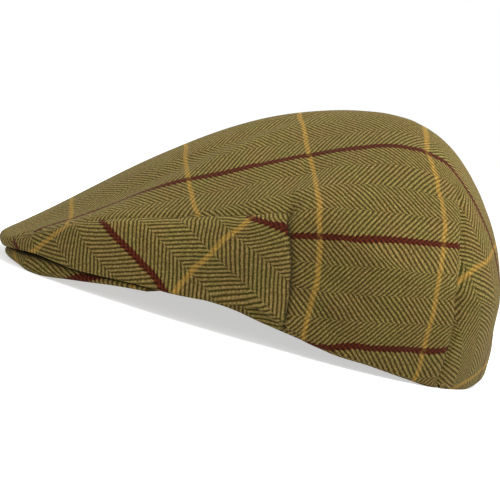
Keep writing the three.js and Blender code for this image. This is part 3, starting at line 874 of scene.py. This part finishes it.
def makePeak():
    form = peakForm
    turn = np.linspace(-form["armAngle"], form["armAngle"], form["steps"] + 1)[:, None]
    angle = np.abs(turn)
    edge, gape, share = (tableCurve(peakRows, k, angle) for k in (1, 2, 3))
    thick = share * form["thickness"]
    edgeTop = section("foldHeight", angle) * capForm["crownHeight"]
    edgeTop = edgeTop - form["seatGap"] - gape * form["thickness"]
    out = np.linspace(0, 1, form["rings"] + 1)[None]
    top = mix(form["frontHeight"], edgeTop, out)
    flatReach = mix(openingReach(angle), edge, out)
    bend = np.pi * np.linspace(0, 1, form["edgeSteps"] + 1)[None, 1:-1]
    roundReach = edge + thick / 2 / capForm["noseReach"] * np.sin(bend)
    roundTop = edgeTop - thick * (1 + np.cos(bend)) / 2
    reach = np.concatenate([flatReach, roundReach, flatReach[:, ::-1]], 1)
    z = np.concatenate([top - thick, roundTop, top[:, ::-1]], 1)
    x, y = inPlan(angle, reach)
    places = np.stack([x * np.where(turn < 0, -1, 1), y, np.maximum(form["floorGap"], z)], -1)
    places = np.concatenate([places, places[:, :1]], 1)
    shape = gridPiece(form["steps"], places.shape[1] - 1)

    # The cloth runs over the rounded edge, so there its place is counted on along the bend
    bottomEdge, topEdge = form["rings"], form["rings"] + form["edgeSteps"]
    laid = places[..., :2] - np.array((form["redAt"], form["goldAt"]))
    outward = laid[:, topEdge] - laid[:, topEdge + 1]
    outward /= np.linalg.norm(outward, axis=-1, keepdims=True)
    bent = np.linalg.norm(np.diff(places[:, bottomEdge:topEdge + 1], axis=1), axis=-1)
    bent = np.cumsum(bent[:, ::-1], axis=1)[:, ::-1]
    overEdge = laid[:, topEdge:topEdge + 1] + outward[:, None] * bent[..., None]

    def spotOf(face, loop):
        column, ring = int(loop.vert.co.x), int(loop.vert.co.y)
        onEdge = bottomEdge < face.calc_center_median().y < topEdge
        return overEdge[column, ring - bottomEdge] if onEdge and ring < topEdge else laid[column, ring]

    setWeave(shape, spotOf)
    for vertex in shape.verts:
        vertex.co = Vector(places[int(vertex.co.x), int(vertex.co.y)]) * mm
    bmesh.ops.remove_doubles(shape, verts=shape.verts, dist=tiny)
    rims = [edge for edge in shape.edges if edge.is_boundary]
    bmesh.ops.holes_fill(shape, edges=rims)
    bmesh.ops.recalc_face_normals(shape, faces=shape.faces)
    return finishPiece("peak_board", shape, 0, ["peak"], peakTweed)


seenCloth = SeenCloth()
print("cloth found in the camera's view")
makeCrown(seenCloth)
makeSide("side_left", "side_panel_left", 1, seenCloth)
makeSide("side_right", "side_panel_right", -1, seenCloth)
makePeak()


# The stage: a pale floor, soft light all round and one large soft light above
studio = {"floorSize": 40.0, "floor": (0.50, 0.50, 0.50, 1), "floorRoughness": 0.9, "floorGlow": 0.55,
          "air": (1, 1, 1, 1), "airStrength": 1.0,
          "lampPlace": (0.45, 0.70, 1.7), "lampSize": 1.2, "lampPower": 60.0}


def makeFloor():
    shape = bmesh.new()
    bmesh.ops.create_grid(shape, x_segments=1, y_segments=1, size=studio["floorSize"] / 2)
    mesh = bpy.data.meshes.new("floor")
    shape.to_mesh(mesh)
    shape.free()
    floor = bpy.data.objects.new("floor", mesh)
    bpy.context.scene.collection.objects.link(floor)
    graph = Graph("pale floor")
    shader = graph.node("ShaderNodeBsdfPrincipled", Base_Color=studio["floor"],
                        Roughness=studio["floorRoughness"])
    shader.inputs["Specular IOR Level"].default_value = 0
    shader.inputs["Emission Color"].default_value = studio["air"]
    shader.inputs["Emission Strength"].default_value = studio["floorGlow"]
    graph.surface(shader)
    mesh.materials.append(graph.material)


def makeLight():
    world = bpy.data.worlds.new("studio air")
    world.use_nodes = True
    sky = world.node_tree.nodes["Background"]
    sky.inputs[0].default_value = studio["air"]
    sky.inputs[1].default_value = studio["airStrength"]
    bpy.context.scene.world = world

    lamp = bpy.data.lights.new("soft lamp", "AREA")
    lamp.shape = "DISK"
    lamp.size = studio["lampSize"]
    lamp.energy = studio["lampPower"]
    holder = bpy.data.objects.new("soft lamp", lamp)
    holder.location = studio["lampPlace"]
    holder.rotation_euler = (-holder.location).to_track_quat("-Z", "Y").to_euler()
    bpy.context.scene.collection.objects.link(holder)


def makeCamera():
    right, up, towards = (Vector(axis) for axis in viewAxes())
    data = bpy.data.cameras.new("photo view")
    data.sensor_width = view["sensor"]
    data.sensor_fit = "HORIZONTAL"
    data.lens = view["distance"] / view["mmPerPixel"] / view["frame"] * view["sensor"]
    data.clip_start = view["clipStart"]
    data.clip_end = view["clipEnd"]
    camera = bpy.data.objects.new("photo view", data)
    place = (Vector(view["target"]) + towards * view["distance"]) * mm
    turn = Matrix((right, up, towards)).transposed()
    camera.matrix_world = Matrix.Translation(place) @ turn.to_4x4()
    bpy.context.scene.collection.objects.link(camera)
    bpy.context.scene.camera = camera


makeFloor()
makeLight()
makeCamera()
bpy.context.scene.view_settings.view_transform = "Standard"
print("studio and camera set")

bpy.context.view_layer.update()
